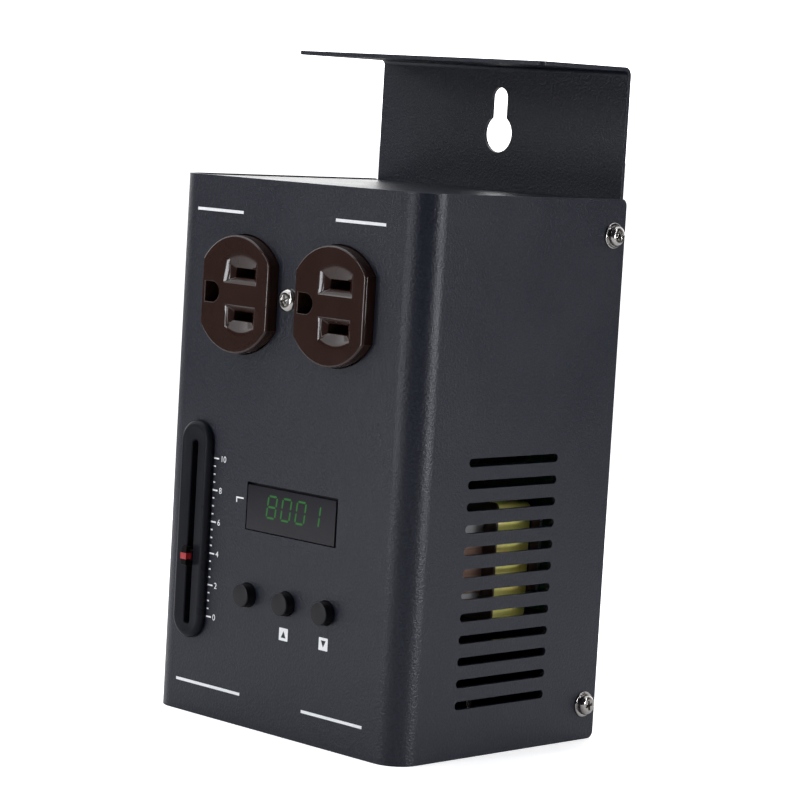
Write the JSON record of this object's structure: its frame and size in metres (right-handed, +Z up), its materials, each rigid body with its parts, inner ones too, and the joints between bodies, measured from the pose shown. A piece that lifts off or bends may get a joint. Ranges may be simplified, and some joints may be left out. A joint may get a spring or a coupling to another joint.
{
  "type": "dimmer pack",
  "caption": "Small steel dimmer pack for stage lights with a hanging flange, duplex outlet, slide fader, number display, push buttons, side vents and connectors underneath.",
  "frame": {"origin": "on the floor under the middle of the whole pack", "axes": "+X to the right seen from the front, +Y from the front face to the back plate, +Z up"},
  "size_m": [0.1074, 0.0848, 0.1933],
  "materials": {
    "case_paint": "fine textured dark blue-grey powder coat",
    "nickel": "bright nickel plate, softly worn",
    "brown_plastic": "glossy dark brown moulding",
    "black_plastic": "satin black moulding",
    "grey_plastic": "satin grey",
    "dark_lens": "smoked dark window",
    "zinc_steel": "zinc plate",
    "brass": "plain",
    "board_green": "solder mask",
    "tape_yellow": "yellow polyester tape",
    "core_steel": "varnished laminations",
    "aluminium": "extruded, plain",
    "copper": "enamelled copper wire",
    "fader_red": "satin",
    "terminal_green": "satin",
    "glass": "clear"
  },
  "bodies": {
    "case": {"front_cover": "case_paint", "rear_chassis": "case_paint", "top_panel": "case_paint", "cover_screw_left_lower": "nickel", "cover_screw_left_upper": "nickel", "cover_screw_right_lower": "nickel", "cover_screw_right_upper": "nickel", "outlet_screw": "nickel", "control_input": "nickel", "control_output": "nickel", "outlet_body": "brown_plastic", "outlet_rear_housing": "black_plastic", "led_display": "black_plastic", "fader_bezel": "black_plastic", "triac": "black_plastic", "supply_capacitor": "black_plastic", "line_wire": "black_plastic", "neutral_wire": "black_plastic", "power_inlet": "black_plastic", "menu_switch": "grey_plastic", "up_switch": "grey_plastic", "down_switch": "grey_plastic", "ribbon_cable": "grey_plastic", "display_window": "dark_lens", "outlet_strap": "zinc_steel", "control_board_screw_1": "zinc_steel", "control_board_screw_2": "zinc_steel", "control_board_screw_3": "zinc_steel", "control_board_screw_4": "zinc_steel", "fader_body": "zinc_steel", "power_board_screw_1": "zinc_steel", "power_board_screw_2": "zinc_steel", "power_board_screw_3": "zinc_steel", "power_board_screw_4": "zinc_steel", "transformer_clamp": "zinc_steel", "inlet_screw_left": "zinc_steel", "inlet_screw_right": "zinc_steel", "input_screw_rear": "zinc_steel", "input_screw_front": "zinc_steel", "output_screw_rear": "zinc_steel", "output_screw_front": "zinc_steel", "hot_contact": "brass", "neutral_contact": "brass", "ground_contact": "brass", "control_board": "board_green", "power_board": "board_green", "near_winding": "tape_yellow", "far_winding": "tape_yellow", "transformer_core": "core_steel", "heatsink": "aluminium", "suppression_choke": "copper", "terminal_block": "terminal_green"},
    "fader": {"fader_lever": "zinc_steel", "fader_cap": "fader_red"},
    "menu": {"menu_button": "black_plastic"},
    "up": {"up_button": "black_plastic"},
    "down": {"down_button": "black_plastic"},
    "drawer": {"fuse_drawer": "black_plastic", "fuse": "glass"},
    "latch": {"release_latch": "zinc_steel"}
  },
  "joints": [
    {"name": "fader_slide", "type": "slide", "parent": "case", "child": "fader", "axis": [0, 0, 1], "range_m": [-0.0164, 0.0286]},
    {"name": "menu_press", "type": "slide", "parent": "case", "child": "menu", "axis": [0, 1, 0], "range_m": [0, 0.0006], "stiffness_N_per_m": 1000},
    {"name": "up_press", "type": "slide", "parent": "case", "child": "up", "axis": [0, 1, 0], "range_m": [0, 0.0006], "stiffness_N_per_m": 1000},
    {"name": "down_press", "type": "slide", "parent": "case", "child": "down", "axis": [0, 1, 0], "range_m": [0, 0.0006], "stiffness_N_per_m": 1000},
    {"name": "drawer_slide", "type": "slide", "parent": "case", "child": "drawer", "axis": [0, 0, -1], "range_m": [0, 0.018]},
    {"name": "latch_press", "type": "slide", "parent": "case", "child": "latch", "axis": [0, 0, 1], "range_m": [0, 0.0008], "stiffness_N_per_m": 1000}
  ]
}
